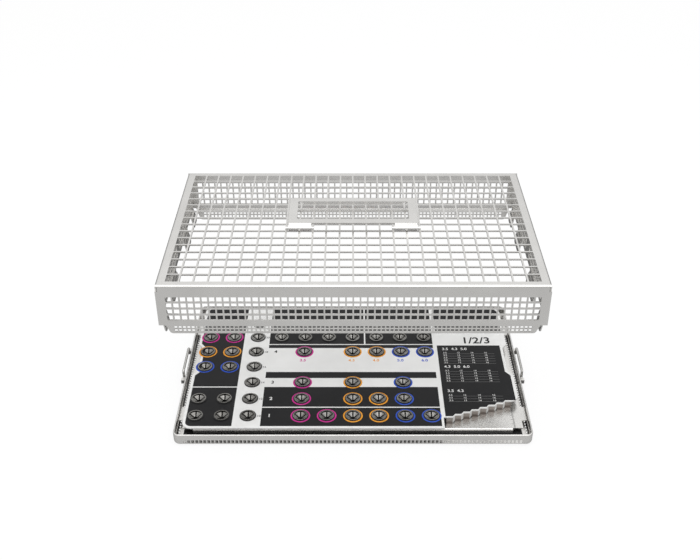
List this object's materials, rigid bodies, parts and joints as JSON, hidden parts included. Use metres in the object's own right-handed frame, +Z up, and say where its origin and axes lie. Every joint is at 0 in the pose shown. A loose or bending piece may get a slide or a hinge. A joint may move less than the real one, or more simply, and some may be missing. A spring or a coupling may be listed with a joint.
{
  "type": "instrument tray",
  "caption": "Perforated steel instrument tray with a lift-out insert of spring sockets, wire side latches and a perforated lid with a folding handle, shown lifted off.",
  "frame": {"origin": "centre of the base's footprint, on the surface it stands on", "axes": "+X along the tray's length to the right, -Y towards the front, +Z up"},
  "size_m": [0.2812, 0.172, 0.1508],
  "materials": {
    "satin_steel": "satin",
    "bright_steel": "polished",
    "printed_plate": "satin print in charcoal and white",
    "black_silicone": "matt"
  },
  "bodies": {
    "base": {"base_floor": "satin_steel", "base_front_wall": "satin_steel", "base_back_wall": "satin_steel", "base_left_wall": "satin_steel", "base_right_wall": "satin_steel", "base_corners": "satin_steel", "silicone_mat": "black_silicone", "latch_brackets_left": "satin_steel", "latch_brackets_right": "satin_steel"},
    "insert": {"lower_plate": "satin_steel", "locating_ears": "satin_steel", "upper_plate": "printed_plate", "comb_tabs": "satin_steel", "comb_webs": "printed_plate", "standoffs": "bright_steel", "insert_screws": "bright_steel", "grommets_left": "black_silicone", "grommets_middle": "black_silicone", "grommets_back": "black_silicone", "grommets_main": "black_silicone", "spring_sockets_left": "bright_steel", "spring_sockets_middle": "bright_steel", "spring_sockets_back": "bright_steel", "spring_sockets_main": "bright_steel"},
    "lid": {"lid_grille": "satin_steel", "lid_front_wall": "satin_steel", "lid_back_wall": "satin_steel", "lid_left_wall": "satin_steel", "lid_right_wall": "satin_steel", "skirt_front": "satin_steel", "skirt_back": "satin_steel", "skirt_left": "satin_steel", "skirt_right": "satin_steel", "lid_catch_left": "satin_steel", "lid_catch_right": "satin_steel", "hinge_ears": "satin_steel", "hinge_pins": "bright_steel"},
    "handle": {"handle_frame": "satin_steel"},
    "latch_left": {"latch_wire_left": "bright_steel"},
    "latch_right": {"latch_wire_right": "bright_steel"}
  },
  "joints": [
    {"name": "lid_lift", "type": "slide", "parent": "base", "child": "lid", "axis": [0, 0, 1], "range_m": [-0.1016, 0]},
    {"name": "insert_lift", "type": "slide", "parent": "base", "child": "insert", "axis": [0, 0, 1], "range_m": [0, 0.06]},
    {"name": "handle_fold", "type": "hinge", "parent": "lid", "child": "handle", "pos_m": [0, -0.01, 0.147], "axis": [1, 0, 0], "range_deg": [0, 90]},
    {"name": "latch_left_swing", "type": "hinge", "parent": "base", "child": "latch_left", "pos_m": [-0.1389, 0.005, 0.0055], "axis": [0, -1, 0], "range_deg": [-8, 90]},
    {"name": "latch_right_swing", "type": "hinge", "parent": "base", "child": "latch_right", "pos_m": [0.1389, 0.005, 0.0055], "axis": [0, 1, 0], "range_deg": [-8, 90]}
  ]
}
